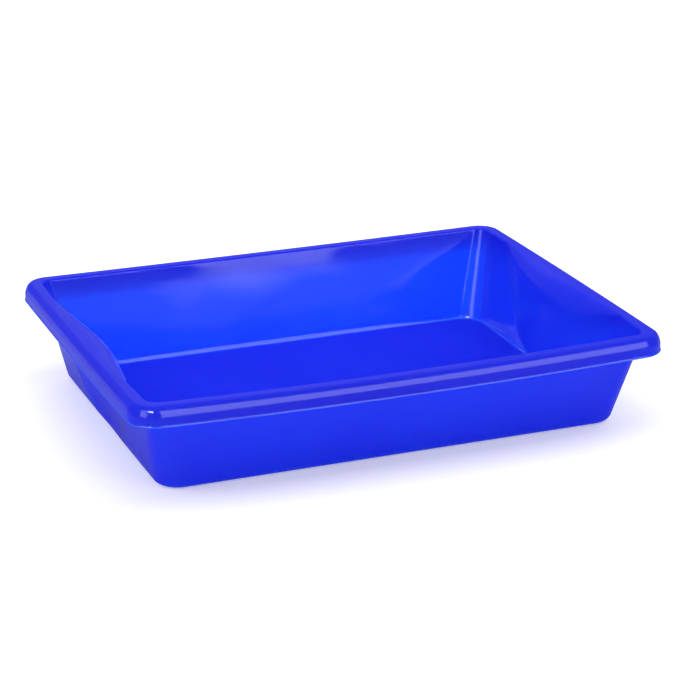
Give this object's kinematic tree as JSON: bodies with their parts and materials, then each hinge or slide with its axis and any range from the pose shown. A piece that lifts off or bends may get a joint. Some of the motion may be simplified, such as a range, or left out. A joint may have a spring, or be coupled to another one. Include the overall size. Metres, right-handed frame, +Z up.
{
  "type": "mud pan",
  "caption": "Shallow rectangular plastic tray with leaning walls, rounded corners, a flat rim with a hanging skirt, and a hollow for the fingers under the rim at each end.",
  "frame": {"origin": "centre of the underside of the floor, at the height of the surface that the pan stands on", "axes": "+X along the length towards the right end, +Y along the width towards the back, +Z up out of the mouth"},
  "size_m": [0.402, 0.311, 0.0725],
  "materials": {
    "blue_plastic": "glossy, faintly translucent royal blue, in the colour of the plastic itself"
  },
  "bodies": {
    "root": {"floor": "blue_plastic", "front_base_bend": "blue_plastic", "back_base_bend": "blue_plastic", "left_base_bend": "blue_plastic", "right_base_bend": "blue_plastic", "front_wall": "blue_plastic", "back_wall": "blue_plastic", "left_end_wall": "blue_plastic", "right_end_wall": "blue_plastic", "left_finger_grip": "blue_plastic", "right_finger_grip": "blue_plastic", "front_left_corner": "blue_plastic", "front_right_corner": "blue_plastic", "back_left_corner": "blue_plastic", "back_right_corner": "blue_plastic", "front_rim": "blue_plastic", "back_rim": "blue_plastic", "left_rim": "blue_plastic", "right_rim": "blue_plastic", "front_left_rim_corner": "blue_plastic", "front_right_rim_corner": "blue_plastic", "back_left_rim_corner": "blue_plastic", "back_right_rim_corner": "blue_plastic"}
  },
  "joints": []
}
